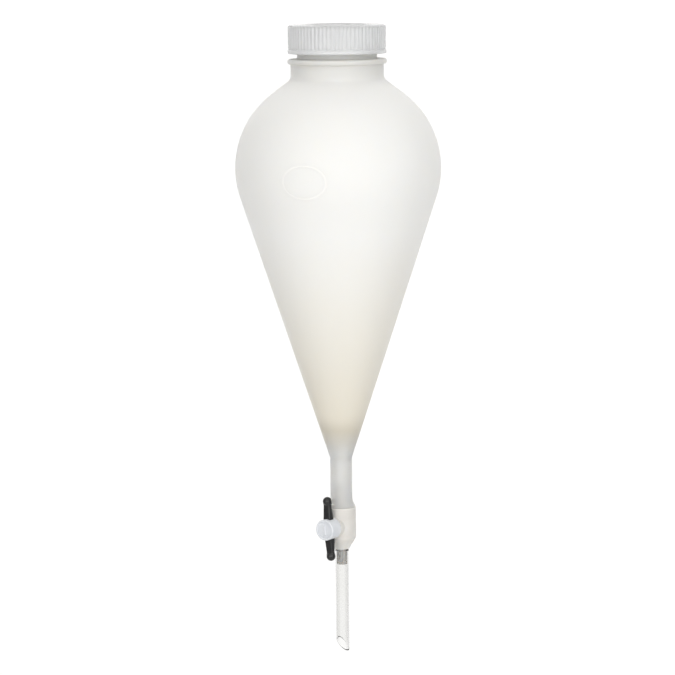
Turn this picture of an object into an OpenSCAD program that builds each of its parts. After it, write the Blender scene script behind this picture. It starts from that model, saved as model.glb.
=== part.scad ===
// Translucent polypropylene separatory funnel, 1000 mL. A pear-shaped shell carries a ribbed
// screw cap, a plug stopcock turned by a bar handle, and a clear bevelled delivery tube.
// +Z runs up the flow axis. The origin lies on that axis, level with the support ring that
// carries the cone. The stopcock's plug lies along Y, with its head towards -Y.

/* [Funnel shell] */
// Outer radius of the cone where the support ring carries it
ring_r = 38; // [36:0.5:40]
// Largest outer radius of the pear
belly_r = 60; // [58:0.5:62]
// Radius of the arc that forms the belly, seen from the side
belly_arc_r = 54; // [52:0.5:55]
// Angle between the cone's side and the flow axis
cone_angle = 18.2; // [17.8:0.1:18.6]
// Angle of the shoulder's outward normal above the horizontal
shoulder_angle = 53; // [50:1:56]
// Thickness of the shell
shell_t = 1.6; // [1.2:0.1:2]
// Outer radius of the neck below the bead
neck_r = 27.1; // [26.6:0.1:27.6]
// Radius where the neck flows into the shoulder
neck_fillet_r = 4; // [2:0.5:6]

/* [Mouth and screw thread] */
// Height of the rim above the origin
rim_z = 155.1; // [154:0.1:157]
// Height of the threaded finish, from the bead to the rim
finish_h = 16.1; // [16:0.1:18]
// Outer radius of the finish between the threads
finish_r = 23.2; // [23:0.1:23.3]
// Radius of the mouth's bore
mouth_r = 21.5; // [20:0.1:21.8]
// Outer radius of the bead under the cap
bead_r = 28.8; // [28.4:0.1:29.2]
// Height of the bead
bead_h = 3.1; // [2.6:0.1:3.4]
// Pitch of the right-hand thread, six turns to the inch
thread_pitch = 4.2333; // [4:0.01:4.5]
// How far a thread stands out of its wall
thread_depth = 1.3; // [1.1:0.1:1.3]
// Width of a thread at its crest
thread_crest_w = 0.9; // [0.7:0.1:1]
// Turns of thread on the finish
finish_turns = 2.4; // [2:0.1:2.5]
// Turns of thread inside the cap
cap_turns = 1.9; // [1.5:0.1:2]

/* [Spout] */
// Outer radius of the spout
spout_r = 6.45; // [6.2:0.05:6.8]
// Radius of the spout's bore
spout_bore_r = 3.6; // [3.5:0.05:3.8]
// Height of the spout's foot, where it meets the stopcock
foot_z = -125.3; // [-127:0.1:-124]
// Outer radius of the flared foot
foot_r = 7.95; // [7.6:0.05:8.2]
// Height of the flare
flare_h = 5.5; // [4:0.1:6]

/* [Screw cap] */
// Height of the cap, without the raised ring on its top
cap_h = 16.6; // [16:0.1:17]
// Radius of the cap over its ribs
cap_r = 28.4; // [28.2:0.1:28.8]
// Radius of the smooth band round the cap's lower edge
cap_band_r = 28.7; // [28.5:0.1:29]
// Height of that band
cap_band_h = 2.3; // [2:0.1:3]
// Radius of the cap's bore between the threads
cap_bore_r = 24.9; // [24.8:0.1:25]
// Thickness of the cap's top
cap_top_t = 2.2; // [1.8:0.1:2.4]
// Number of grip ribs
rib_count = 72; // [60:1:80]
// Depth of the grooves between the ribs
rib_depth = 0.5; // [0.3:0.1:0.6]
// Radius of the plain raised ring on the cap's top
top_ring_r = 17; // [15:0.5:20]
// Thickness of the sealing liner
liner_t = 1.3; // [1:0.1:1.6]

/* [Stopcock body] */
// Height of the plug's axis
plug_z = -136.8; // [-137.5:0.1:-136]
// Radius of the upright barrel
barrel_r = 8.5; // [8.4:0.05:8.7]
// Height at which the barrel begins to narrow
barrel_low_z = -143.9; // [-144.5:0.1:-143.5]
// Height of the barrel's lower end, where the delivery tube butts
barrel_end_z = -151; // [-152:0.1:-150]
// Height of the nozzle's lower end
nozzle_end_z = -160.2; // [-162:0.1:-158]
// Height of the upper end of the stub inside the spout
stub_top_z = -110.8; // [-114:0.1:-108]
// Radius of the flow passage in the body
passage_r = 2.2; // [2.1:0.05:2.4]
// Radius of the front boss that holds the plug
boss_r = 6.25; // [6.2:0.05:6.4]
// Distance from the flow axis to the front boss's face
boss_reach = 9.1; // [9:0.1:9.6]

/* [Plug and handle] */
// Radius of the plug's taper at the flow axis
plug_mid_r = 4.1; // [4:0.05:4.2]
// Taper of the plug, as radius gained for each unit of length
plug_taper = 0.05; // [0.04:0.01:0.06]
// Radius of the bore through the plug
plug_bore_r = 2; // [1.5:0.1:2]
// Radius of the plug's head
head_r = 6.2; // [6:0.05:6.25]
// Distance from the flow axis to the head's face
head_reach = 17.9; // [17:0.1:18.5]
// Distance from the flow axis to the handle's axis
handle_reach = 12.9; // [12.6:0.1:13.2]
// Distance between the centres of the handle's two balls
handle_span = 33; // [30:0.1:36]
// Radius of the handle's balls
handle_ball_r = 2.65; // [2.5:0.05:2.8]
// Width of the handle's bar across the head
handle_w = 4.8; // [4.4:0.1:5]
// Depth of the handle's bar along the plug
handle_d = 4.2; // [3.8:0.1:4.3]
// Angle that the handle stands off the upright, with the passage still open
handle_tilt = 4; // [0:1:6]

/* [Delivery tube] */
// Outer diameter of the tube, 5/16 inch
tube_od = 7.94; // [7.8:0.01:8.1]
// Inner diameter of the tube, 1/4 inch
tube_id = 6.35; // [6.3:0.01:6.4]
// Height of the tube's lowest point
tube_tip_z = -212.7; // [-220:0.1:-200]
// Angle between the bevelled end and the horizontal
bevel_angle = 45; // [35:1:50]

/* [Hidden] */
round_fn = 96;      // segments of a whole turn
thread_steps = 36;  // thread sections to a turn
run_gap = 0.05;     // radial clearance of a running fit
face_gap = 0.2;     // gap between faces that turn past each other
eps = 0.5;          // how far a cutter runs past the solid
edge = 0.4;         // size of a small bevelled edge

// Heights of the mouth, worked down from the rim
bead_top_z = rim_z - finish_h;
bead_low_z = bead_top_z - bead_h;
liner_top_z = rim_z + liner_t;
cap_top_z = liner_top_z + cap_top_t;
cap_low_z = cap_top_z - cap_h;

// The belly's arc touches the cone, which passes through the ring seat
belly_x = belly_r - belly_arc_r;
belly_z = (belly_arc_r - (ring_r - belly_x) * cos(cone_angle)) / sin(cone_angle);

// Threads: a turn of the cap's lies a little over halfway up the gap below a turn of the
// finish's, whose underside pulls the cap down
thread_root_w = thread_crest_w + 1;
thread_lead = 30;                   // degrees over which a thread rises at its ends
thread_seat = 0.5;                  // how far a thread is rooted in its wall
finish_thread_z = rim_z - 1.9 - finish_turns * thread_pitch;
cap_thread_z = finish_thread_z + thread_pitch / 2 + 0.5;

// Seals and the parts behind the plug
ring_seal_r = 0.45;                 // radius of an O-ring's section
front_seal_y = -8.1;
rear_seal_y = 3.6;
recess_r = 4.6;
recess_floor_y = 5.3;
stem_r = 2.95;
stem_end_y = 7.3;
clip_groove_r = 2.5;
clip_y = [5.95, 6.5];               // front and back of the retaining ring's groove
washer_y = [recess_floor_y + run_gap, 5.85];
inlet_seal_z = stub_top_z - 4;
tube_r = tube_od / 2;
tube_bore_r = tube_id / 2;
nozzle_r = tube_bore_r - run_gap;
stub_r = spout_bore_r - run_gap;

// Points on an arc about [x, z], from angle a0 to a1 in n steps
function arc(x, z, r, a0, a1, n) =
    [for (i = [0:n]) let (a = a0 + (a1 - a0) * i / n) [x + r * cos(a), z + r * sin(a)]];

// Height at which the line that touches a circle about the belly's centre, of radius r and
// with its outward normal at angle a, crosses radius x
function tangent_z(x, r, a) = (r - (x - belly_x) * cos(a)) / sin(a) + belly_z;

// Radius of the plug at a distance y from the flow axis, growing towards its head at -Y
function plug_r(y) = plug_mid_r - plug_taper * y;

// A helical rib of trapezoid section, as rings of four points from its lower end upwards.
// It grows from radius root to radius crest, and sinks back to root at both ends.
module helical_rib(root, crest, turns, z) {
    count = round(turns * thread_steps);
    lead = thread_lead / 360 * thread_steps;
    sections = [for (i = [0:count])
        let (a = 360 * i / thread_steps,
             rise = min(1, max(0.05, min(i, count - i) / lead)),
             r = root + (crest - root) * rise,
             mid = z + thread_pitch * i / thread_steps)
        each [[root * cos(a), root * sin(a), mid - thread_root_w / 2],
            [r * cos(a), r * sin(a), mid - thread_crest_w / 2],
            [r * cos(a), r * sin(a), mid + thread_crest_w / 2],
            [root * cos(a), root * sin(a), mid + thread_root_w / 2]]];
    outward = crest > root;
    sides = [for (i = [0:count - 1], k = [0:3])
        let (p = 4 * i + k, q = 4 * i + (k + 1) % 4)
        each [[p, q, q + 4], [p, q + 4, p + 4]]];
    ends = [[3, 2, 1], [3, 1, 0], [4 * count, 4 * count + 1, 4 * count + 2],
        [4 * count, 4 * count + 2, 4 * count + 3]];
    faces = concat(sides, ends);
    polyhedron(sections, outward ? faces : [for (f = faces) [f[2], f[1], f[0]]]);
}

// Closed outline of the shell's outside down to the foot, with the flow axis as its inner edge
function shell_outside() = let (
        fillet_z = tangent_z(neck_r + neck_fillet_r, belly_arc_r + neck_fillet_r, shoulder_angle),
        bead_mid = (bead_top_z + bead_low_z) / 2,
        spout_fillet_r = 3,
        spout_z = tangent_z(spout_r + spout_fillet_r, belly_arc_r + spout_fillet_r, -cone_angle),
        foot_lip_h = 0.6,
        flare_drop = flare_h - foot_lip_h,
        flare_w = foot_r - spout_r,
        flare_r = (pow(flare_drop, 2) + pow(flare_w, 2)) / (2 * flare_w))
    concat([[0, rim_z], [finish_r - edge, rim_z], [finish_r, rim_z - edge], [finish_r, bead_top_z]],
        arc(bead_r - bead_h / 2, bead_mid, bead_h / 2, 90, -90, 12),
        [[neck_r, bead_low_z]],
        arc(neck_r + neck_fillet_r, fillet_z, neck_fillet_r, 180, 180 + shoulder_angle, 8),
        arc(belly_x, belly_z, belly_arc_r, shoulder_angle, -cone_angle, 32),
        arc(spout_r + spout_fillet_r, spout_z, spout_fillet_r, 180 - cone_angle, 180, 4),
        arc(spout_r + flare_r, foot_z + flare_h, flare_r, 180, 180 + asin(flare_drop / flare_r), 6),
        [[foot_r, foot_z], [0, foot_z]]);

// Closed outline of the shell's hollow, from above the rim to below the foot
function shell_inside() = let (
        arc_r = belly_arc_r - shell_t,
        neck_in = neck_r - shell_t,
        step_high = bead_top_z - 1,
        step_low = bead_low_z - 1.5)
    concat([[0, rim_z + eps], [mouth_r, rim_z + eps], [mouth_r, step_high], [neck_in, step_low],
            [neck_in, tangent_z(neck_in, arc_r, shoulder_angle)]],
        arc(belly_x, belly_z, arc_r, shoulder_angle, -cone_angle, 32),
        [[spout_bore_r, tangent_z(spout_bore_r, arc_r, -cone_angle)],
            [spout_bore_r, foot_z - eps], [0, foot_z - eps]]);

module funnel_body() {
    color([0.93, 0.93, 0.91]) {
        difference() {
            rotate_extrude($fn = round_fn) polygon(shell_outside());
            rotate_extrude($fn = round_fn) polygon(shell_inside());
        }
        helical_rib(finish_r - thread_seat, finish_r + thread_depth, finish_turns, finish_thread_z);
    }
}

// Outline of the ribbed grip: two points on each rib's crest and two in the groove beside it,
// at these shares of a rib's spacing
function grip_outline(shares = [0, 0.4, 0.55, 0.85]) = [for (i = [0:rib_count - 1], k = [0:3])
    let (a = 360 * (i + shares[k]) / rib_count, r = cap_r - (k < 2 ? 0 : rib_depth))
    [r * cos(a), r * sin(a)]];

module screw_cap() {
    shoulder_h = 1.1;                   // height of the rounded edge above the ribs
    core_r = cap_r - rib_depth - 0.1;   // radius of the wall that carries the ribs
    band_top_z = cap_low_z + cap_band_h;
    ring_w = 1.4;                       // width of the raised ring on the top
    ring_h = 0.4;                       // height of that ring
    color([0.9, 0.92, 0.95]) {
        difference() {
            union() {
                rotate_extrude($fn = round_fn)
                    polygon(concat([[0, cap_low_z], [cap_band_r - edge, cap_low_z],
                            [cap_band_r, cap_low_z + edge], [cap_band_r, band_top_z],
                            [core_r, band_top_z + edge]],
                        arc(core_r - shoulder_h, cap_top_z - shoulder_h, shoulder_h, 0, 90, 6),
                        [[top_ring_r + ring_w / 2, cap_top_z], [top_ring_r, cap_top_z + ring_h],
                            [top_ring_r - ring_w / 2, cap_top_z], [0, cap_top_z]]));
                translate([0, 0, band_top_z]) linear_extrude(cap_h - cap_band_h - shoulder_h)
                    polygon(grip_outline());
            }
            translate([0, 0, cap_low_z - eps])
                cylinder(r = cap_bore_r, h = liner_top_z - cap_low_z + eps, $fn = round_fn);
        }
        helical_rib(cap_bore_r + thread_seat, cap_bore_r - thread_depth, cap_turns, cap_thread_z);
    }
}

// Soft disc between the cap's top and the rim
module cap_liner() {
    slack = 0.3;    // radial gap that lets the cap turn on the disc
    color([0.8, 0.83, 0.86])
        translate([0, 0, rim_z]) cylinder(r = cap_bore_r - slack, h = liner_t, $fn = round_fn);
}

// A cylinder or cone along Y, from y0 to y1, at the plug's height
module along_y(y0, y1, r0, r1) {
    translate([0, y0, plug_z]) rotate([-90, 0, 0])
        cylinder(r1 = r0, r2 = r1, h = y1 - y0, $fn = round_fn);
}

// An O-ring about the plug's axis
module plug_o_ring(y, r) {
    translate([0, y, plug_z]) rotate([-90, 0, 0])
        rotate_extrude($fn = round_fn) translate([r, 0]) circle(r = ring_seal_r, $fn = 24);
}

module stopcock_body() {
    rim_r = 0.8;        // radius of the barrel's rounded upper edge
    shroud_w = 0.3;     // how far the barrel's lower end stands out past the tube
    seal_groove_h = 1;
    seal_groove_d = 0.8;
    fine_groove_h = 0.5;
    fine_groove_d = 0.2;
    color([0.9, 0.89, 0.87])
    difference() {
        union() {
            rotate_extrude($fn = round_fn)
                polygon(concat([[0, stub_top_z], [stub_r - edge, stub_top_z],
                        [stub_r, stub_top_z - edge], [stub_r, foot_z]],
                    arc(barrel_r - rim_r, foot_z - rim_r, rim_r, 90, 0, 6),
                    [[barrel_r, barrel_low_z], [tube_r + shroud_w, barrel_end_z],
                        [nozzle_r, barrel_end_z],
                        [nozzle_r, nozzle_end_z + edge], [nozzle_r - edge, nozzle_end_z],
                        [0, nozzle_end_z]]));
            along_y(-boss_reach, 0, boss_r, boss_r);
        }
        // flow passage
        translate([0, 0, nozzle_end_z - eps])
            cylinder(r = passage_r, h = stub_top_z - nozzle_end_z + 2 * eps, $fn = round_fn);
        // tapered seat, and the recess behind it that hides the plug's small end
        along_y(-boss_reach - eps, recess_floor_y + eps,
            plug_r(-boss_reach - eps) + run_gap, plug_r(recess_floor_y + eps) + run_gap);
        along_y(recess_floor_y, barrel_r + eps, recess_r, recess_r);
        // groove for the inlet seal, and two fine grooves round the nozzle
        rotate_extrude($fn = round_fn)
            translate([stub_r - seal_groove_d, inlet_seal_z - seal_groove_h / 2])
                square([2 * seal_groove_d, seal_groove_h]);
        for (z = [nozzle_end_z + 1.2, nozzle_end_z + 2.4])
            rotate_extrude($fn = round_fn)
                translate([nozzle_r - fine_groove_d, z]) square([2 * fine_groove_d, fine_groove_h]);
    }
}

module inlet_seal_ring() {
    section_r = 0.35;
    color([0.25, 0.25, 0.27])
        translate([0, 0, inlet_seal_z]) rotate_extrude($fn = round_fn)
            translate([stub_r - section_r - run_gap, 0]) circle(r = section_r, $fn = 24);
}

module stopcock_plug() {
    groove = ring_seal_r + run_gap;
    rim_w = 1.1;        // width of the rim round the head's face
    face_drop = 0.5;    // depth of the face inside the rim
    bar_w = 1.3;        // width of the plain bar on the face
    bar_h = 6;          // length of that bar
    tip_y = recess_floor_y - 0.1;   // end of the taper, just short of the recess
    color([0.94, 0.95, 0.97])
    difference() {
        union() {
            along_y(-boss_reach - face_gap, tip_y, plug_r(-boss_reach - face_gap), plug_r(tip_y));
            along_y(0, stem_end_y - edge, stem_r, stem_r);
            along_y(stem_end_y - edge, stem_end_y, stem_r, stem_r - edge);
            along_y(-head_reach + edge, -boss_reach - face_gap, head_r, head_r);
            along_y(-head_reach, -head_reach + edge, head_r - edge, head_r);
        }
        // the face, with a plain bar left standing that shows which way the bore runs
        difference() {
            along_y(-head_reach - eps, -head_reach + face_drop, head_r - rim_w, head_r - rim_w);
            rotate_about_plug(handle_tilt) cube([bar_w, 4 * head_reach, bar_h], center = true);
        }
        // cross bore and the handle's slot
        rotate_about_plug(handle_tilt) {
            cylinder(r = plug_bore_r, h = 4 * plug_mid_r, center = true, $fn = round_fn);
            translate([0, -handle_reach, 0])
                cube([handle_w + 2 * run_gap, handle_d + 2 * run_gap, 3 * head_r], center = true);
        }
        for (y = [front_seal_y, rear_seal_y])
            translate([0, y, plug_z]) rotate([90, 0, 0]) rotate_extrude($fn = round_fn)
                translate([plug_r(y) - 2 * groove, -groove]) square([4 * groove, 2 * groove]);
        translate([0, clip_y[0], plug_z]) rotate([-90, 0, 0]) difference() {
            cylinder(r = 2 * stem_r, h = clip_y[1] - clip_y[0], $fn = round_fn);
            cylinder(r = clip_groove_r, h = clip_y[1] - clip_y[0], $fn = round_fn);
        }
    }
}

// Turns its children about the plug's axis, and lifts them to its height
module rotate_about_plug(angle) {
    translate([0, 0, plug_z]) rotate([0, -angle, 0]) children();
}

module plug_front_seal() {
    color([0.2, 0.2, 0.22])
        plug_o_ring(front_seal_y, plug_r(front_seal_y) - ring_seal_r);
}

module plug_rear_seal() {
    color([0.2, 0.2, 0.22])
        plug_o_ring(rear_seal_y, plug_r(rear_seal_y) - ring_seal_r);
}

module thrust_washer() {
    color([0.95, 0.95, 0.93])
    difference() {
        along_y(washer_y[0], washer_y[1], recess_r - 0.2, recess_r - 0.2);
        along_y(washer_y[0] - eps, washer_y[1] + eps, stem_r + run_gap, stem_r + run_gap);
    }
}

// Open ring that snaps into the stem's groove and holds the plug in its seat
module retaining_ring() {
    opening_w = 3.2;    // width of the ring's opening
    color([0.85, 0.85, 0.83])
    difference() {
        along_y(clip_y[0], clip_y[1] - run_gap, recess_r - 0.4, recess_r - 0.4);
        along_y(clip_y[0] - eps, clip_y[1] + eps, clip_groove_r + run_gap, clip_groove_r + run_gap);
        translate([-opening_w / 2, clip_y[0] - eps, plug_z - 2 * recess_r])
            cube([opening_w, 4 * eps, 2 * recess_r]);
    }
}

// A thin slice of the handle's bar, w wide and d deep, at height z
module bar_slice(w, d, z) {
    corner_r = 0.6;
    slice_h = 0.01;
    translate([0, 0, z]) linear_extrude(slice_h)
        offset(r = corner_r, $fn = 32) square([w - 2 * corner_r, d - 2 * corner_r], center = true);
}

module handle_bar() {
    ball_z = handle_span / 2;
    end_w = 4.2;    // width of the bar where it runs into a ball
    end_d = 2.5;    // depth of the bar there
    end_z = ball_z - 1.5;
    color([0.06, 0.06, 0.065])
    rotate_about_plug(handle_tilt) translate([0, -handle_reach, 0]) {
        hull() {
            bar_slice(handle_w, handle_d, -head_r);
            bar_slice(handle_w, handle_d, head_r);
        }
        for (side = [0, 1]) mirror([0, 0, side]) {
            hull() {
                bar_slice(handle_w, handle_d, head_r - eps);
                bar_slice(end_w, end_d, end_z);
            }
            translate([0, 0, ball_z]) sphere(r = handle_ball_r, $fn = 48);
        }
    }
}

module delivery_tube() {
    length = barrel_end_z - tube_tip_z;
    cutter = 2 * length;
    color([0.93, 0.94, 0.9])
    difference() {
        translate([0, 0, tube_tip_z]) cylinder(r = tube_r, h = length, $fn = round_fn);
        translate([0, 0, tube_tip_z - eps])
            cylinder(r = tube_bore_r, h = length + 2 * eps, $fn = round_fn);
        // the bevel rises towards -X from the tip on the +X side
        translate([tube_r, 0, tube_tip_z]) rotate([0, bevel_angle, 0])
            translate([-cutter / 2, -cutter / 2, -cutter]) cube(cutter);
    }
}

funnel_body();
screw_cap();
cap_liner();
stopcock_body();
inlet_seal_ring();
stopcock_plug();
plug_front_seal();
plug_rear_seal();
thrust_washer();
retaining_ring();
handle_bar();
delivery_tube();
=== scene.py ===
from math import asin, ceil, cos, degrees, hypot, pi, radians, sin, tan

import bpy
import numpy as np
from mathutils import Matrix, Vector


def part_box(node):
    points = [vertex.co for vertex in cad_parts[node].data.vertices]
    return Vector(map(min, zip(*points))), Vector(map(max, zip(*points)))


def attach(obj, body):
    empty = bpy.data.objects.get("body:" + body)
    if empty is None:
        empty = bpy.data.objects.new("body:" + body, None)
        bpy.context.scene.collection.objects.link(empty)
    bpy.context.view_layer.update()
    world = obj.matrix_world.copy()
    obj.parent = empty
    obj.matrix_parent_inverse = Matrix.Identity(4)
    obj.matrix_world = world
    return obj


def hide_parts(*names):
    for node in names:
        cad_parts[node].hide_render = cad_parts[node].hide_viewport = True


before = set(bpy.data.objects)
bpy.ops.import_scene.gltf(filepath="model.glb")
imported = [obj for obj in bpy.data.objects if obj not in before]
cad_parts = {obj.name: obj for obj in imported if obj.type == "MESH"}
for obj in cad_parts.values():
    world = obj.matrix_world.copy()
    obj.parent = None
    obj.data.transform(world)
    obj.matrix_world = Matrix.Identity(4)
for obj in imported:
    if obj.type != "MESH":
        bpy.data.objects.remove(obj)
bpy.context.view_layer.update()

# Lengths are millimetres here, as in the CAD, and metres on shader sockets. MM turns
# millimetres into metres.
MM = 0.001
X, Y, Z = 0, 1, 2


def span(node, axis):
    """Lowest and highest place of a CAD node along an axis."""
    low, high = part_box(node)
    return low[axis] / MM, high[axis] / MM


# Places read from the frame
FOOT_Z, RIM_Z = span("funnel_body", Z)
BELLY_R = span("funnel_body", X)[1]
CAP_LOW_Z, CAP_HIGH_Z = span("screw_cap", Z)
CAP_BAND_R = span("screw_cap", X)[1]
LINER_LOW_Z, LINER_HIGH_Z = span("cap_liner", Z)
LINER_R = span("cap_liner", X)[1]
PLUG_Z = sum(span("plug_front_seal", Z)) / 2
HANDLE_Y = sum(span("handle_bar", Y)) / 2
HANDLE_LOW_Z, HANDLE_HIGH_Z = span("handle_bar", Z)
TUBE_TIP_Z, TUBE_TOP_Z = span("delivery_tube", Z)
TUBE_R = span("delivery_tube", X)[1]

# Driving sizes of the shell
RING_R = 38
BELLY_ARC_R = 54
CONE_ANGLE = 18.2
SHOULDER_ANGLE = 53
SHELL_T = 1.6
NECK_R = 27.1
NECK_FILLET_R = 4
FINISH_H = 16.1
FINISH_R = 23.2
MOUTH_R = 21.5
BEAD_R = 28.8
BEAD_H = 3.1
SPOUT_R = 6.45
SPOUT_BORE_R = 3.6
FOOT_R = 7.95
FLARE_H = 5.5
BELLY_X = BELLY_R - BELLY_ARC_R
BELLY_Z = (BELLY_ARC_R - (RING_R - BELLY_X) * cos(radians(CONE_ANGLE))) / sin(radians(CONE_ANGLE))

# Threads
THREAD_PITCH = 4.2333
THREAD_DEPTH = 1.3
THREAD_CREST_W = 0.9
THREAD_ROOT_W = 1.9
FINISH_TURNS = 2.4
CAP_TURNS = 1.9
THREAD_TOP_DROP = 1.9
CAP_THREAD_OFFSET = 0.5
FINISH_THREAD_Z = RIM_Z - THREAD_TOP_DROP - FINISH_TURNS * THREAD_PITCH
CAP_THREAD_Z = FINISH_THREAD_Z + THREAD_PITCH / 2 + CAP_THREAD_OFFSET

# Cap
CAP_BORE_R = 24.9
CAP_R = 28.4
RIB_COUNT = 72
RIB_DEPTH = 0.5
CAP_BAND_H = 2.3
TOP_RING_R = 17
TOP_RING_H = 0.4
TOP_RING_HALF_W = 0.7
CAP_SHOULDER_H = 1.1
CAP_TOP_Z = CAP_HIGH_Z - TOP_RING_H

# Tube and handle
TUBE_BORE_R = 3.175
BEVEL_ANGLE = 45
HANDLE_TILT = 4
HEAD_R = 6.2
BALL_R = 2.65
BAR_HEAD_SIZE = (4.8, 4.2)
BAR_END_SIZE = (4.2, 2.5)


# ---------------------------------------------------------------- outlines

def arc(x, z, r, a0, a1, n):
    """Points on an arc about (x, z), from angle a0 to a1 in n steps."""
    angles = [radians(a0 + (a1 - a0) * i / n) for i in range(n + 1)]
    return [(x + r * cos(a), z + r * sin(a)) for a in angles]


def divided(points, step):
    """The same open outline with its straight stretches cut so that none is longer than step."""
    out = [points[0]]
    for p, q in zip(points, points[1:]):
        n = max(1, ceil(hypot(q[0] - p[0], q[1] - p[1]) / step))
        out += [(p[0] + (q[0] - p[0]) * i / n, p[1] + (q[1] - p[1]) * i / n) for i in range(1, n + 1)]
    return out


def tangent_z(x, r, angle):
    """Height at which the line touching a circle about the belly's centre crosses radius x."""
    a = radians(angle)
    return (r - (x - BELLY_X) * cos(a)) / sin(a) + BELLY_Z


def smoothstep(x):
    x = np.clip(x, 0, 1)
    return x * x * (3 - 2 * x)


def thread_rise(theta, z, start_z, turns, lead=1 / 12):
    """How far a right-hand thread stands out, from 0 to 1, at each angle and height."""
    turn = theta / (2 * pi)
    turn = turn + np.round((z - start_z) / THREAD_PITCH - turn)
    off = np.abs(z - start_z - THREAD_PITCH * turn)
    flank = smoothstep((THREAD_ROOT_W / 2 - off) / ((THREAD_ROOT_W - THREAD_CREST_W) / 2))
    ends = smoothstep(np.minimum(turn, turns - turn) / lead)
    return flank * ends


# ---------------------------------------------------------------- meshes

def new_piece(name, verts, faces):
    """A smooth mesh object from points in millimetres, with its faces turned outwards."""
    verts = np.asarray(verts, float) * MM
    mesh = bpy.data.meshes.new(name)
    mesh.from_pydata(verts.tolist(), [], faces)
    mesh.validate()
    tris = [(f[0], f[i], f[i + 1]) for f in faces for i in range(1, len(f) - 1)]
    a, b, c = (verts[np.array(tris)[:, k]] for k in range(3))
    if np.einsum("ij,ij->i", a, np.cross(b, c)).sum() < 0:
        mesh.flip_normals()
    mesh.shade_smooth()
    piece = bpy.data.objects.new(name, mesh)
    bpy.context.scene.collection.objects.link(piece)
    return piece


def ring_solid(name, rings, closed):
    """A solid through rings of points. closed joins the last ring to the first, and otherwise
    each end is filled by a fan."""
    n, m = rings.shape[:2]
    verts = rings.reshape(-1, 3)
    rows = n if closed else n - 1
    faces = []
    for i in range(rows):
        here, there = i * m, (i + 1) % n * m
        faces += [(here + j, here + (j + 1) % m, there + (j + 1) % m, there + j) for j in range(m)]
    if not closed:
        verts = np.vstack([verts, rings[0].mean(0), rings[-1].mean(0)])
        first, last = n * m, n * m + 1
        faces += [(first, (j + 1) % m, j) for j in range(m)]
        faces += [(last, (n - 1) * m + j, (n - 1) * m + (j + 1) % m) for j in range(m)]
    return new_piece(name, verts, faces)


def revolved(outline, steps, bulge=0):
    """Rings of an outline turned about the flow axis. bulge is added to each point's radius."""
    theta = np.arange(steps) * 2 * pi / steps
    outline = np.array(outline, float)
    r = outline[:, :1] + bulge
    r = np.broadcast_to(r, (len(outline), steps))
    z = np.broadcast_to(outline[:, 1:], r.shape)
    return np.stack([r * np.cos(theta), r * np.sin(theta), z], axis=2)


def softened_copy(node, name, voxel, rounds):
    """A remeshed copy of a CAD node with all its edges and inner corners rounded."""
    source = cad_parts[node]
    piece = bpy.data.objects.new(name, source.data.copy())
    bpy.context.scene.collection.objects.link(piece)
    remesh = piece.modifiers.new("remesh", "REMESH")
    remesh.mode = "VOXEL"
    remesh.voxel_size = voxel * MM
    remesh.use_smooth_shade = True
    smooth = piece.modifiers.new("smooth", "SMOOTH")
    smooth.factor = 0.5
    smooth.iterations = rounds
    bpy.context.view_layer.update()
    shaped = piece.evaluated_get(bpy.context.evaluated_depsgraph_get())
    mesh = bpy.data.meshes.new_from_object(shaped)
    mesh.name = name
    piece.modifiers.clear()
    piece.data = mesh
    mesh.materials.clear()
    mesh.shade_smooth()
    return piece


# ---------------------------------------------------------------- materials

class Nodes:
    """Short calls for building a material's or the world's nodes."""

    def __init__(self, tree):
        self.tree = tree

    def add(self, kind, inputs=(), **settings):
        node = self.tree.nodes.new("ShaderNode" + kind)
        for key, value in settings.items():
            setattr(node, key, value)
        for socket, value in dict(inputs).items():
            if isinstance(value, bpy.types.NodeSocket):
                self.tree.links.new(value, node.inputs[socket])
            else:
                node.inputs[socket].default_value = value
        return node

    def noise(self, vector, scale, detail, roughness=0.5):
        return self.add("TexNoise", {"Vector": vector, "Scale": scale, "Detail": detail,
                                     "Roughness": roughness}).outputs["Fac"]

    def range(self, value, low, high, source=(0.35, 0.65)):
        """value, taken from the source range to the range low to high."""
        return self.add("MapRange", {"Value": value, "From Min": source[0], "From Max": source[1],
                                     "To Min": low, "To Max": high}).outputs["Result"]

    def blend(self, factor, a, b):
        """A mix of two colours, each a plain colour or another node's output."""
        node = self.add("Mix", data_type="RGBA")
        self.tree.links.new(factor, node.inputs["Factor"])
        for socket, colour in ((node.inputs[6], a), (node.inputs[7], b)):
            if isinstance(colour, bpy.types.NodeSocket):
                self.tree.links.new(colour, socket)
            else:
                socket.default_value = (*colour, 1)
        return node.outputs[2]

    def math(self, operation, a, b=0.0):
        return self.add("Math", {0: a, 1: b}, operation=operation).outputs[0]


def plastic(name, tones, roughness, patch, grain=0, grain_depth=0, detail=4, **sockets):
    """A moulded plastic. tones are the two colours its patches vary between, and roughness is
    its range. patch and grain are noise scales, for the patches and for a raised grain of
    grain_depth millimetres, where there is one. detail is how fine the patches go. sockets are
    the shader's plain values."""
    material = bpy.data.materials.new(name)
    material.use_nodes = True
    tree = material.node_tree
    shader = tree.nodes["Principled BSDF"]
    n = Nodes(tree)
    place = n.add("TexCoord").outputs["Object"]
    patches = n.noise(place, patch, detail=detail)
    tree.links.new(n.blend(n.range(patches, 0, 1), *tones), shader.inputs["Base Color"])
    smears = n.noise(place, patch * 5, detail=detail, roughness=0.6)
    tree.links.new(n.range(smears, *roughness), shader.inputs["Roughness"])
    if grain_depth:
        height = n.noise(place, grain, detail=2)
        bump = n.add("Bump", {"Height": height, "Strength": 1, "Distance": grain_depth * MM})
        tree.links.new(bump.outputs[0], shader.inputs["Normal"])
    for socket, value in sockets.items():
        shader.inputs[socket.replace("_", " ")].default_value = value
    return material


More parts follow.
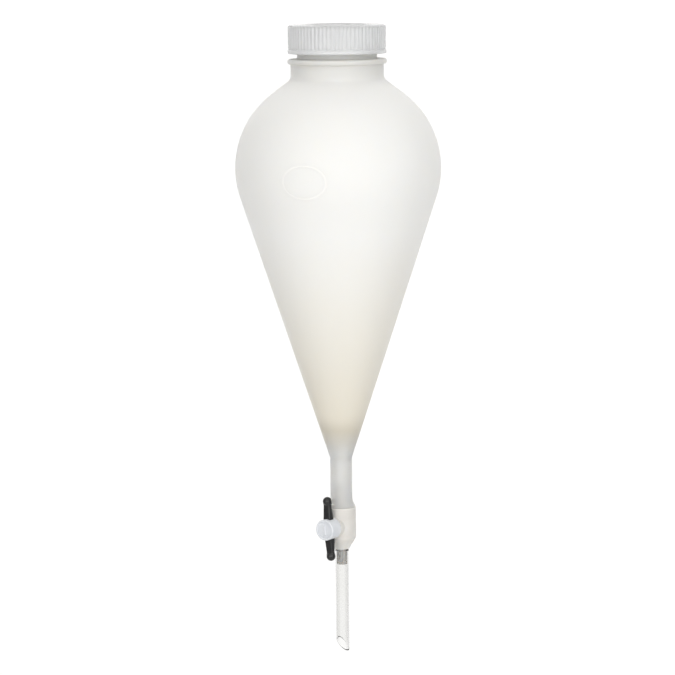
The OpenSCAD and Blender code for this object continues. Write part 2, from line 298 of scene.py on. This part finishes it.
def shell_plastic():
    """Milky at the belly, with painted shade that makes it darker and warmer down the cone, and clearer
    at spout and neck.
    """
    material = plastic("translucent_shell", ((0.915, 0.907, 0.875), (0.927, 0.920, 0.890)),
                       (0.36, 0.42), patch=12, detail=0,
                       Subsurface_Weight=0.6, Subsurface_Scale=0.002,
                       Subsurface_Radius=(1.0, 0.95, 0.85), IOR=1.49, Specular_IOR_Level=0.25)
    # the cone's tone is painted shade, darker and warmer than the milky belly; the spout has a pale tone
    shaded_cone_tone, pale_spout = (0.77, 0.72, 0.61), (0.94, 0.94, 0.925)
    # heights between which each change comes on, in millimetres
    cone_shade_zs, spout_colour_zs, spout_clear_zs, neck_zs = (-90, 40), (-92, -78), (-90, -70), (122, 134)
    tree = material.node_tree
    shader = tree.nodes["Principled BSDF"]
    n = Nodes(tree)
    z = n.add("SeparateXYZ", {0: n.add("TexCoord").outputs["Object"]}).outputs["Z"]
    milky = shader.inputs["Base Color"].links[0].from_socket

    def change(zs, low, high):
        return n.range(z, low, high, (zs[0] * MM, zs[1] * MM))

    # painted shade: the colour turns darker and warmer from the belly down the cone
    cone = n.blend(change(cone_shade_zs, 1, 0), milky, shaded_cone_tone)
    colour = n.blend(change(spout_colour_zs, 1, 0), cone, pale_spout)
    tree.links.new(colour, shader.inputs["Base Color"])
    clear = n.math("ADD", change(spout_clear_zs, 0.6, 0.06), change(neck_zs, 0, 0.25))
    tree.links.new(clear, shader.inputs["Transmission Weight"])
    return material


def ring_plastic():
    return plastic("raised_ring", ((0.90, 0.89, 0.86), (0.93, 0.92, 0.89)), (0.3, 0.4),
                   patch=40, grain=1400, grain_depth=0.004, Specular_IOR_Level=0.25)


def cap_plastic():
    return plastic("translucent_cap", ((0.92, 0.935, 0.955), (0.95, 0.96, 0.975)), (0.10, 0.16),
                   patch=60, Transmission_Weight=0.4, Subsurface_Weight=0.6,
                   Subsurface_Scale=0.002, Subsurface_Radius=(1.0, 1.0, 1.0), IOR=1.49)


def liner_rubber():
    return plastic("liner_rubber", ((0.74, 0.77, 0.80), (0.80, 0.82, 0.85)), (0.6, 0.75),
                   patch=120, grain=2500, grain_depth=0.02)


def stopcock_plastic():
    return plastic("stopcock_plastic", ((0.69, 0.67, 0.635), (0.74, 0.725, 0.695)), (0.38, 0.5),
                   patch=140, grain=2200, grain_depth=0.006,
                   Subsurface_Weight=0.5, Subsurface_Scale=0.002,
                   Subsurface_Radius=(1.0, 0.85, 0.7), IOR=1.5)


def plug_fluoropolymer():
    return plastic("waxy_fluoropolymer", ((0.69, 0.71, 0.745), (0.75, 0.77, 0.80)), (0.42, 0.58),
                   patch=160, grain=1800, grain_depth=0.008,
                   Subsurface_Weight=0.5, Subsurface_Scale=0.0015,
                   Subsurface_Radius=(1.0, 1.0, 1.0), IOR=1.38)


def seal_rubber():
    return plastic("seal_rubber", ((0.012, 0.012, 0.013), (0.03, 0.03, 0.032)), (0.5, 0.7),
                   patch=400, grain=4000, grain_depth=0.01)


def clip_plastic():
    return plastic("clip_plastic", ((0.74, 0.74, 0.71), (0.82, 0.82, 0.8)), (0.35, 0.5),
                   patch=300, grain=3000, grain_depth=0.006)


def handle_plastic():
    return plastic("gloss_black_plastic", ((0.010, 0.010, 0.011), (0.020, 0.019, 0.019)),
                   (0.05, 0.10), patch=200, IOR=1.5)


def tube_plastic():
    """Clear, with a wall that takes up a little of the light that passes through it."""
    material = plastic("clear_tube_plastic", ((0.975, 0.975, 0.965), (0.99, 0.99, 0.985)),
                       (0.0, 0.0005), patch=60, Transmission_Weight=1.0, IOR=1.49)
    tree = material.node_tree
    n = Nodes(tree)
    absorption = n.add("VolumeAbsorption", {"Color": (0.3, 0.3, 0.31, 1), "Density": 130})
    tree.links.new(absorption.outputs[0], tree.nodes["Material Output"].inputs["Volume"])
    return material


# ---------------------------------------------------------------- pieces

def finish(piece, material, body, slot, *nodes):
    """Gives a piece its material and body, and puts it in place of CAD nodes. slot is not used."""
    piece.data.materials.clear()
    piece.data.materials.append(material)
    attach(piece, body)
    if nodes:
        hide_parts(*nodes)
    return piece


def shell_outline():
    """The shell's closed outline from the rim down the outside and back up the inside, and the
    places in it where the threaded finish starts and ends."""
    edge = 0.4
    bead_top_z = RIM_Z - FINISH_H
    bead_low_z = bead_top_z - BEAD_H
    bead_edge = 1.2
    arc_in = BELLY_ARC_R - SHELL_T
    neck_in = NECK_R - SHELL_T
    neck_inner_top_z = bead_low_z - 1.5
    mouth_low_z = bead_top_z - 1
    fine_step, coarse_step = 0.2, 3
    fillet = 3
    fillet_z = tangent_z(NECK_R + NECK_FILLET_R, BELLY_ARC_R + NECK_FILLET_R, SHOULDER_ANGLE)
    spout_z = tangent_z(SPOUT_R + fillet, BELLY_ARC_R + fillet, -CONE_ANGLE)
    foot_band_h = 0.6
    flare_drop = FLARE_H - foot_band_h
    flare_w = FOOT_R - SPOUT_R
    flare_r = (flare_drop ** 2 + flare_w ** 2) / (2 * flare_w)
    flare_end = 180 + degrees(asin(flare_drop / flare_r))
    rim_round = arc(FINISH_R - edge, RIM_Z - edge, edge, 90, 0, 4)[:-1]
    finish_ends = [(FINISH_R, RIM_Z - edge), (FINISH_R, bead_top_z + edge)]
    finish_line = divided(finish_ends, fine_step)
    outside = divided(
        rim_round + finish_line
        + arc(FINISH_R + edge, bead_top_z + edge, edge, 180, 270, 4)
        + arc(BEAD_R - bead_edge, bead_top_z - bead_edge, bead_edge, 90, 0, 8)
        + arc(BEAD_R - bead_edge, bead_low_z + bead_edge, bead_edge, 0, -90, 8)
        + arc(NECK_R + edge, bead_low_z - edge, edge, 90, 180, 4)
        + arc(NECK_R + NECK_FILLET_R, fillet_z, NECK_FILLET_R, 180, 180 + SHOULDER_ANGLE, 12)
        + arc(BELLY_X, BELLY_Z, BELLY_ARC_R, SHOULDER_ANGLE, -CONE_ANGLE, 56)
        + arc(SPOUT_R + fillet, spout_z, fillet, 180 - CONE_ANGLE, 180, 6)
        + arc(SPOUT_R + flare_r, FOOT_Z + FLARE_H, flare_r, 180, flare_end, 8)
        + arc(FOOT_R - edge / 2, FOOT_Z + edge / 2, edge / 2, 0, -90, 3), coarse_step)
    inside = divided(
        [(SPOUT_BORE_R, FOOT_Z), (SPOUT_BORE_R, tangent_z(SPOUT_BORE_R, arc_in, -CONE_ANGLE))]
        + arc(BELLY_X, BELLY_Z, arc_in, -CONE_ANGLE, SHOULDER_ANGLE, 56)
        + [(neck_in, tangent_z(neck_in, arc_in, SHOULDER_ANGLE)), (neck_in, neck_inner_top_z),
           (MOUTH_R, mouth_low_z)]
        + arc(MOUTH_R + edge, RIM_Z - edge, edge, 180, 90, 4), coarse_step)
    first = len(rim_round)
    return outside + inside, first, first + len(finish_line)


def make_shell():
    steps = 192
    outline, first, last = shell_outline()
    theta = np.arange(steps) * 2 * pi / steps
    bulge = np.zeros((len(outline), steps))
    heights = np.array(outline)[first:last, 1:]
    rise = thread_rise(theta[None], heights, FINISH_THREAD_Z, FINISH_TURNS)
    bulge[first:last] = THREAD_DEPTH * rise
    piece = ring_solid("funnel_shell", revolved(outline, steps, bulge), closed=True)
    return finish(piece, shell_plastic(), "funnel", "shell", "funnel_body")


def make_belly_ring():
    """The plain raised oval ring on the front of the belly."""
    drop, turn = 3.9, 16
    centre_z = BELLY_Z - drop
    centre_angle = -90 + turn
    half_w, half_h = 13, 9.5
    bead_half_w, bead_h, sunk = 0.6, 0.09, 0.1
    steps = 180
    # across the bead, and up from the belly: a sunk edge, a half round, and a sunk edge
    half_round = [(-cos(t), sin(t)) for t in (pi * k / 10 for k in range(11))]
    section = [(-1, -1)] + half_round + [(1, -1)]
    rings = []
    for i in range(steps):
        a = i * 2 * pi / steps
        rise = asin((centre_z - BELLY_Z) / BELLY_ARC_R) + half_h * sin(a) / BELLY_ARC_R
        radius = BELLY_X + BELLY_ARC_R * cos(rise)
        along = radians(centre_angle) + half_w * cos(a) / radius
        out = Vector((cos(along) * cos(rise), sin(along) * cos(rise), sin(rise)))
        east = Vector((-sin(along), cos(along), 0))
        north = out.cross(east)
        foot_z = BELLY_Z + BELLY_ARC_R * sin(rise)
        foot = Vector((radius * cos(along), radius * sin(along), foot_z))
        aside = (east * half_h * cos(a) + north * half_w * sin(a)).normalized()
        rings.append([tuple(foot + aside * bead_half_w * s + out * (bead_h * h if h > 0 else sunk * h))
                      for s, h in section])
    piece = ring_solid("belly_ring", np.array(rings), closed=True)
    return finish(piece, ring_plastic(), "funnel", "shell")


def make_cap():
    steps = RIB_COUNT * 10
    core_r = CAP_R - RIB_DEPTH
    band_top_z = CAP_LOW_Z + CAP_BAND_H
    edge = 0.4
    grip_top_z = CAP_TOP_Z - CAP_SHOULDER_H
    mark = [(TOP_RING_R + TOP_RING_HALF_W * s, CAP_TOP_Z + TOP_RING_H * cos(pi / 2 * s) ** 2)
            for s in (k / 4 for k in range(-4, 5))]
    shoulder = arc(core_r - CAP_SHOULDER_H, grip_top_z, CAP_SHOULDER_H, 90, 0, 8)
    top = divided([(1, CAP_TOP_Z)] + mark, 3) + shoulder
    grip = divided([(core_r, grip_top_z), (core_r, band_top_z + edge)], 0.5)[1:]
    band = arc(CAP_BAND_R - edge, band_top_z - edge, edge, 90, 0, 4)
    band += arc(CAP_BAND_R - edge, CAP_LOW_Z + edge, edge, 0, -90, 4)
    bore = divided([(CAP_BORE_R + edge, CAP_LOW_Z), (CAP_BORE_R, CAP_LOW_Z + edge),
                    (CAP_BORE_R, LINER_HIGH_Z - edge)], 0.3)
    roof = divided([(CAP_BORE_R - edge, LINER_HIGH_Z), (1, LINER_HIGH_Z)], 4)
    outline = top + grip + band + bore + roof
    theta = np.arange(steps) * 2 * pi / steps
    bulge = np.zeros((len(outline), steps))
    rib = smoothstep((np.cos(RIB_COUNT * theta) + 0.75) / 1.1)
    rib_end_h = 0.8
    for i in range(len(top) - len(shoulder), len(top) + len(grip)):
        z = outline[i][1]
        fade = smoothstep((CAP_TOP_Z - z) / CAP_SHOULDER_H) * smoothstep((z - band_top_z) / rib_end_h)
        bulge[i] = RIB_DEPTH * rib * fade
    first = len(top) + len(grip) + len(band)
    heights = np.array(outline)[first:first + len(bore), 1:]
    rise = thread_rise(theta[None], heights, CAP_THREAD_Z, CAP_TURNS)
    bulge[first:first + len(bore)] = -THREAD_DEPTH * rise
    piece = ring_solid("ribbed_cap", revolved(outline, steps, bulge), closed=False)
    return finish(piece, cap_plastic(), "cap", "cap", "screw_cap")


def make_liner():
    """A soft disc with rounded edges and a shallow groove pressed by the rim."""
    edge = (LINER_HIGH_Z - LINER_LOW_Z) / 3
    rim_mid = (MOUTH_R + FINISH_R) / 2
    groove_half_w, groove_depth = 1.4, 0.15
    groove = [(rim_mid + groove_half_w * s, LINER_LOW_Z + groove_depth * cos(pi / 2 * s) ** 2)
              for s in (1, 0.66, 0.33, 0, -0.33, -0.66, -1)]
    outline = divided([(1, LINER_HIGH_Z)] + arc(LINER_R - edge, LINER_HIGH_Z - edge, edge, 90, 0, 5)
                      + arc(LINER_R - edge, LINER_LOW_Z + edge, edge, 0, -90, 5)[:-1]
                      + groove + [(1, LINER_LOW_Z)], 3)
    piece = ring_solid("sealing_disc", revolved(outline, 128), closed=False)
    return finish(piece, liner_rubber(), "liner", "liner", "cap_liner")


def make_stopcock_body():
    piece = softened_copy("stopcock_body", "valve_barrel", voxel=0.2, rounds=8)
    return finish(piece, stopcock_plastic(), "funnel", "stopcock", "stopcock_body")


def make_plug(material):
    piece = softened_copy("stopcock_plug", "valve_plug", voxel=0.13, rounds=8)
    return finish(piece, material, "plug", "plug", "stopcock_plug")


def make_handle():
    """A bar of rounded oblong section, even inside the head, that thins to a ball at each end."""
    tilt = radians(HANDLE_TILT)
    head_size = Vector(BAR_HEAD_SIZE) / 2
    end_size = Vector(BAR_END_SIZE) / 2
    half_span = (HANDLE_HIGH_Z - HANDLE_LOW_Z - 2 * BALL_R) / 2 / cos(tilt)
    # powers that set how square the bar's corners are, and how sharply bar and ball join
    squareness, joining = 8, 6
    # the bar's last ring and the end of its thinning, both short of the ball's centre
    last_ring, thinned = half_span - 3, half_span - 1.5
    steps = 64
    angles = np.arange(steps) * 2 * pi / steps
    stations = np.concatenate([
        np.linspace(0, HEAD_R, 4)[:-1],
        np.linspace(HEAD_R, last_ring, 20)[:-1],
        half_span + BALL_R * np.sin(np.linspace(-1.25, pi / 2, 28))[:-1]])
    stations = np.concatenate([-stations[:0:-1], stations])
    rings = []
    for s in stations:
        along = np.clip((abs(s) - HEAD_R) / (thinned - HEAD_R), 0, 1)
        w, d = head_size.lerp(end_size, along)
        across = (np.abs(np.cos(angles)) / w) ** squareness + (np.abs(np.sin(angles)) / d) ** squareness
        bar = across ** (-1 / squareness)
        into_ball = abs(s) - half_span
        ball = np.sqrt(max(0, BALL_R ** 2 - into_ball ** 2))
        bar_end = smoothstep(-into_ball / 1.6 + 0.2)
        r = ((bar * bar_end) ** joining + ball ** joining) ** (1 / joining)
        rings.append(np.stack([r * np.cos(angles), r * np.sin(angles), np.full(steps, s)], axis=1))
    rings = np.array(rings)
    # the bar leans about the plug's axis
    x, y, z = rings[..., 0], rings[..., 1], rings[..., 2]
    leaned_x = x * cos(tilt) - z * sin(tilt)
    leaned_z = x * sin(tilt) + z * cos(tilt) + PLUG_Z
    leaned = np.stack([leaned_x, y + HANDLE_Y, leaned_z], axis=2)
    piece = ring_solid("bar_handle", leaned, closed=False)
    return finish(piece, handle_plastic(), "plug", "handle", "handle_bar")


def make_tube():
    """A clear tube whose lower end is cut on the slant, with its edges just broken."""
    steps, rows = 192, 40
    theta = np.arange(steps) * 2 * pi / steps
    edge = 0.12

    def end_z(r):
        return TUBE_TIP_Z + (TUBE_R - r * np.cos(theta)) * tan(radians(BEVEL_ANGLE))

    def ring(r, z):
        z = np.broadcast_to(z, (steps,))
        return np.stack([r * np.cos(theta), r * np.sin(theta), z], axis=1)

    top_edge = TUBE_TOP_Z - edge
    outer_low, bore_low = end_z(TUBE_R) + edge, end_z(TUBE_BORE_R) + edge
    rings = [ring(TUBE_R - edge, TUBE_TOP_Z), ring(TUBE_R, top_edge)]
    rings += [ring(TUBE_R, top_edge + (outer_low - top_edge) * i / rows) for i in range(1, rows + 1)]
    rings += [ring(TUBE_R - edge, end_z(TUBE_R - edge)),
              ring(TUBE_BORE_R + edge, end_z(TUBE_BORE_R + edge))]
    rings += [ring(TUBE_BORE_R, bore_low + (top_edge - bore_low) * i / rows) for i in range(rows + 1)]
    rings += [ring(TUBE_BORE_R + edge, TUBE_TOP_Z)]
    piece = ring_solid("outlet_tube", np.array(rings), closed=True)
    return finish(piece, tube_plastic(), "funnel", "tube", "delivery_tube")


def dress(node, material):
    """A CAD node that is shown as it is, with a new material."""
    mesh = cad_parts[node].data
    mesh.materials.clear()
    mesh.materials.append(material)


# ---------------------------------------------------------------- studio

VIEW_AZIMUTH = 35.3
VIEW_DISTANCE = 1588
VIEW_HEIGHT = 201.7
VIEW_PITCH = 8.1
VIEW_ROLL = 0.58
VIEW_YAW = 0.05
LENS = 145.5
FLOOR_Z = -360
SIDE_LEVEL = 0.42
END_LEVEL = 1.06
STUDIO_WHITE = (1, 0.995, 0.985, 1)
FORWARD = Vector((-sin(radians(VIEW_AZIMUTH)), cos(radians(VIEW_AZIMUTH)), 0))
RIGHT = Vector((cos(radians(VIEW_AZIMUTH)), sin(radians(VIEW_AZIMUTH)), 0))


def make_camera():
    camera = bpy.data.objects.new("camera", bpy.data.cameras.new("camera"))
    bpy.context.scene.collection.objects.link(camera)
    camera.data.lens = LENS
    camera.data.clip_end = 200
    pitch, roll, yaw = radians(VIEW_PITCH), radians(VIEW_ROLL), radians(VIEW_YAW)
    level = FORWARD * cos(yaw) - RIGHT * sin(yaw)
    side = RIGHT * cos(yaw) + FORWARD * sin(yaw)
    forward = level * cos(pitch) - Vector((0, 0, sin(pitch)))
    up = side.cross(forward) * cos(roll) + side * sin(roll)
    right = forward.cross(up)
    place = -FORWARD * VIEW_DISTANCE + Vector((0, 0, VIEW_HEIGHT))
    facing = Matrix((right, up, -forward)).transposed().to_4x4()
    camera.matrix_world = Matrix.Translation(place * MM) @ facing
    bpy.context.scene.camera = camera


def surroundings(n, direction):
    """Brightness of the far surroundings: pale along the main view's line, darker beside it."""
    level = n.add("VectorMath", {0: direction, 1: (1, 1, 0)}, operation="MULTIPLY").outputs[0]
    level = n.add("VectorMath", {0: level}, operation="NORMALIZE").outputs[0]
    along = n.add("VectorMath", {0: level, 1: tuple(FORWARD)}, operation="DOT_PRODUCT").outputs["Value"]
    along = n.math("ABSOLUTE", along)
    node = n.add("MapRange", {"Value": along, "From Min": 0.3, "From Max": 0.8,
                              "To Min": SIDE_LEVEL, "To Max": END_LEVEL}, interpolation_type="SMOOTHSTEP")
    return node.outputs["Result"]


def make_world():
    world = bpy.data.worlds.new("studio")
    bpy.context.scene.world = world
    world.use_nodes = True
    n = Nodes(world.node_tree)
    direction = n.add("TexCoord").outputs["Generated"]
    around = surroundings(n, direction)
    height = n.add("SeparateXYZ", {0: direction}).outputs["Z"]
    low = n.add("MapRange", {"Value": height, "From Min": 0.15, "From Max": 0.8, "To Min": 1,
                             "To Max": 1.15}, interpolation_type="SMOOTHSTEP").outputs["Result"]
    background = world.node_tree.nodes["Background"]
    background.inputs["Color"].default_value = STUDIO_WHITE
    world.node_tree.links.new(n.math("MULTIPLY", around, low), background.inputs["Strength"])


def make_floor():
    """A wide pale floor, lit near the object, whose far part glows as bright as the surroundings so that
    it fades into them.
    """
    radius, thickness = 60000, 10
    outline = [(r, FLOOR_Z) for r in (1, 500, 1000, 2000, 8000, radius)]
    outline += [(radius, FLOOR_Z - thickness), (1, FLOOR_Z - thickness)]
    floor = ring_solid("floor", revolved(outline, 64), closed=False)
    material = bpy.data.materials.new("pale_floor")
    material.use_nodes = True
    tree = material.node_tree
    shader = tree.nodes["Principled BSDF"]
    n = Nodes(tree)
    place = n.add("TexCoord").outputs["Object"]
    speckle = n.noise(place, 90, detail=4)
    tones = n.blend(n.range(speckle, 0, 1), (0.80, 0.80, 0.79), (0.84, 0.84, 0.83))
    tree.links.new(tones, shader.inputs["Base Color"])
    shader.inputs["Roughness"].default_value = 0.7
    glow = n.add("Emission", {"Color": STUDIO_WHITE, "Strength": surroundings(n, place)})
    distance = n.add("VectorMath", {0: place}, operation="LENGTH").outputs["Value"]
    far = n.add("MapRange", {"Value": distance, "From Min": 0.4, "From Max": 0.58, "To Min": 0,
                             "To Max": 1}, interpolation_type="SMOOTHSTEP").outputs["Result"]
    mixed = n.add("MixShader", {0: far, 1: shader.outputs[0], 2: glow.outputs[0]})
    tree.links.new(mixed.outputs[0], tree.nodes["Material Output"].inputs["Surface"])
    floor.data.materials.append(material)


def softbox(name, azimuth, elevation, distance, width, height, watts, aim_z):
    """An area light round the object. azimuth is counted from the main view, to the right."""
    light = bpy.data.lights.new(name, "AREA")
    light.shape = "RECTANGLE"
    light.size, light.size_y = width * MM, height * MM
    light.energy = watts
    box = bpy.data.objects.new(name, light)
    bpy.context.scene.collection.objects.link(box)
    a, e = radians(azimuth), radians(elevation)
    out = (-FORWARD * cos(a) + RIGHT * sin(a)) * cos(e) + Vector((0, 0, sin(e)))
    box.location = (out * distance + Vector((0, 0, aim_z))) * MM
    box.rotation_euler = out.to_track_quat("Z", "Y").to_euler()
    box.visible_camera = False


def make_studio():
    make_camera()
    make_world()
    make_floor()
    softbox("front_softbox", azimuth=0, elevation=8, distance=1500, width=2600, height=700,
            watts=5.5, aim_z=20)
    softbox("right_softbox", azimuth=74, elevation=12, distance=800, width=20, height=450,
            watts=0.3, aim_z=60)
    scene = bpy.context.scene
    scene.view_settings.view_transform = "Standard"
    scene.cycles.use_denoising = True
    scene.cycles.max_bounces = 24
    scene.cycles.transmission_bounces = 20
    scene.cycles.diffuse_bounces = 8
    scene.cycles.glossy_bounces = 6
    scene.cycles.caustics_refractive = True
    scene.cycles.caustics_reflective = True


make_studio()
make_shell()
make_belly_ring()
make_cap()
make_liner()
make_stopcock_body()
fluoropolymer = plug_fluoropolymer()
make_plug(fluoropolymer)
make_handle()
make_tube()
rubber = seal_rubber()
for seal in ("inlet_seal_ring", "plug_front_seal", "plug_rear_seal"):
    dress(seal, rubber)
dress("thrust_washer", fluoropolymer)
dress("retaining_ring", clip_plastic())
